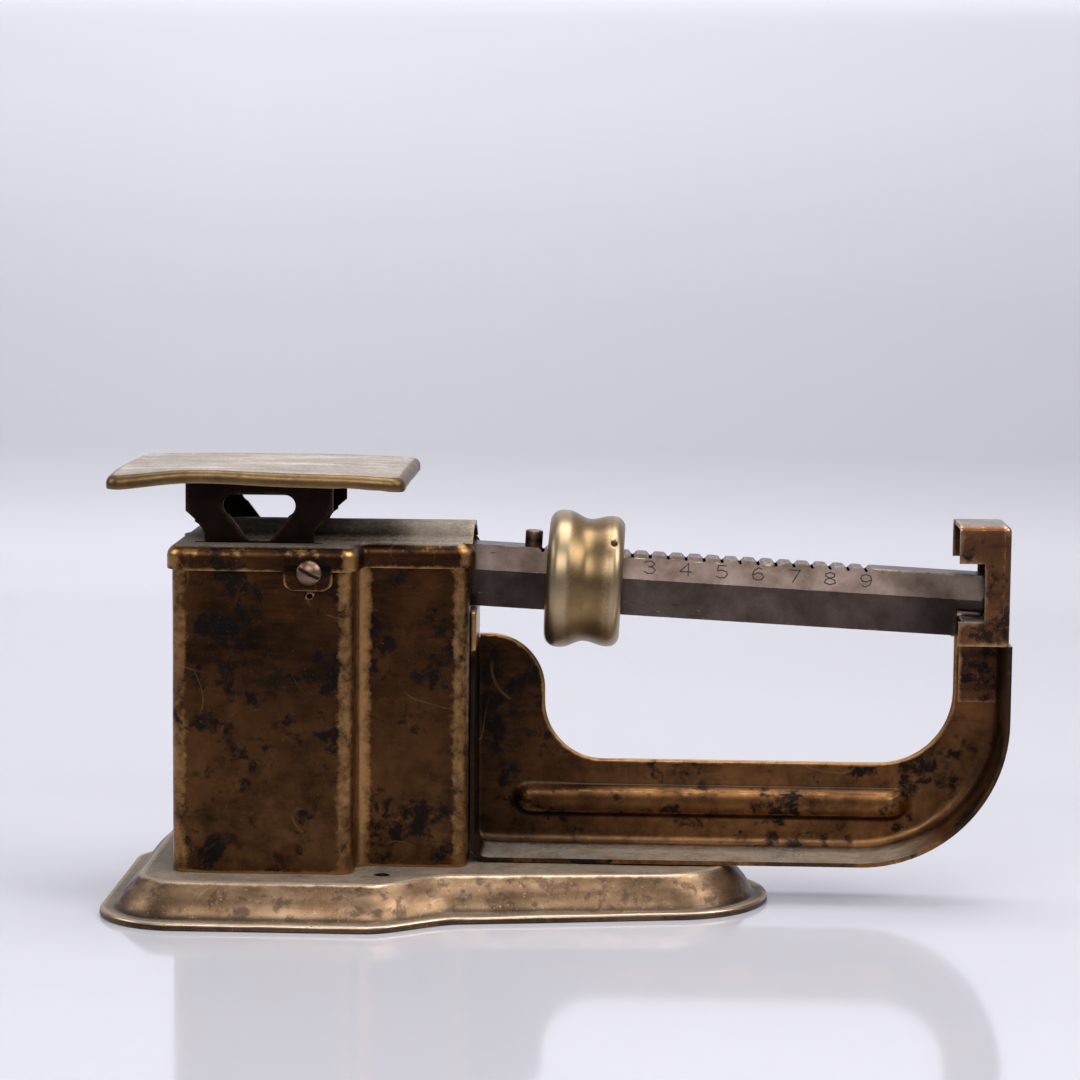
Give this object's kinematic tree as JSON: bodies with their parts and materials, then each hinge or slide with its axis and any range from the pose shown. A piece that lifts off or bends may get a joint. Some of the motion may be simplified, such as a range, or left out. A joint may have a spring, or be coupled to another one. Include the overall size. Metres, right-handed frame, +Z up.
{
  "type": "sliding weight postal scale",
  "caption": "Desk postal scale: flat pan on a knife-edge pivot, notched beam with a sliding poise, pressed base, housing and arm guard.",
  "frame": {"origin": "centre of the footprint's box, on the table under the base", "axes": "+X along the beam from the pan towards the guard, +Y away from the graduated side, +Z up"},
  "size_m": [0.207, 0.086, 0.1002],
  "materials": {
    "bronzed_base": "dusty golden bronze, worn bright along the bends",
    "bronzed_sheet": "copper-brown patina with dark blotches and golden worn edges",
    "dark_steel": "browned steel",
    "worn_brass_pan": "worn grey-beige top with a brown brass rim",
    "blackened_steel": "nearly black oxide",
    "hard_steel": "ground hard steel",
    "gunmetal_beam": "brown gunmetal with a paler upper facet",
    "cast_weight": "dull cast metal",
    "plain_brass": "plain brass",
    "copper_screw": "worn copper colour",
    "olive_brass": "turned brass with an olive tarnish",
    "copper_guard": "copper-brown patina with worn golden edges"
  },
  "bodies": {
    "base": {"base_plate": "bronzed_base", "housing": "bronzed_sheet", "housing_screws": "dark_steel", "top_cover": "bronzed_sheet", "cover_screws": "dark_steel", "cover_nuts": "dark_steel", "post_rod": "hard_steel", "fulcrum_stand": "blackened_steel", "stand_rivets": "dark_steel", "fulcrum_bearings": "hard_steel", "support_arm": "bronzed_sheet", "arm_rivets": "dark_steel", "beam_guard": "copper_guard"},
    "beam": {"beam": "gunmetal_beam", "fulcrum_knife": "hard_steel", "load_knife": "hard_steel", "counterweight": "cast_weight", "counterweight_screws": "dark_steel", "stop_pin": "dark_steel", "screw_block": "plain_brass"},
    "pan": {"pan": "worn_brass_pan", "pan_bracket": "blackened_steel", "load_bearings": "hard_steel", "bracket_rod": "hard_steel"},
    "check_link": {"check_link": "blackened_steel"},
    "poise": {"poise": "olive_brass", "poise_spring": "plain_brass"},
    "balance_screw": {"balance_screw": "copper_screw"}
  },
  "joints": [
    {"name": "beam_tilt", "type": "hinge", "parent": "base", "child": "beam", "pos_m": [-0.047, 0, 0.0764], "axis": [0, -1, 0], "range_deg": [0, 4.2]},
    {"name": "pan_level", "type": "hinge", "parent": "beam", "child": "pan", "pos_m": [-0.06698, 0, 0.07738], "axis": [0, -1, 0], "range_deg": [-4.2, 0]},
    {"name": "link_swing", "type": "hinge", "parent": "base", "child": "check_link", "pos_m": [-0.047, 0, 0.0264], "axis": [0, -1, 0], "range_deg": [0, 4.2]},
    {"name": "poise_slide", "type": "slide", "parent": "beam", "child": "poise", "axis": [0.9988, 0, -0.0489], "range_m": [-0.0014, 0.074]},
    {"name": "balance_turn", "type": "hinge", "parent": "beam", "child": "balance_screw", "pos_m": [0.09094, 0, 0.06765], "axis": [0.9988, 0, -0.0489], "continuous": true}
  ],
  "couplings": [
    {"joint": "pan_level", "follows": "beam_tilt", "ratio": -1},
    {"joint": "link_swing", "follows": "beam_tilt", "ratio": 1}
  ]
}
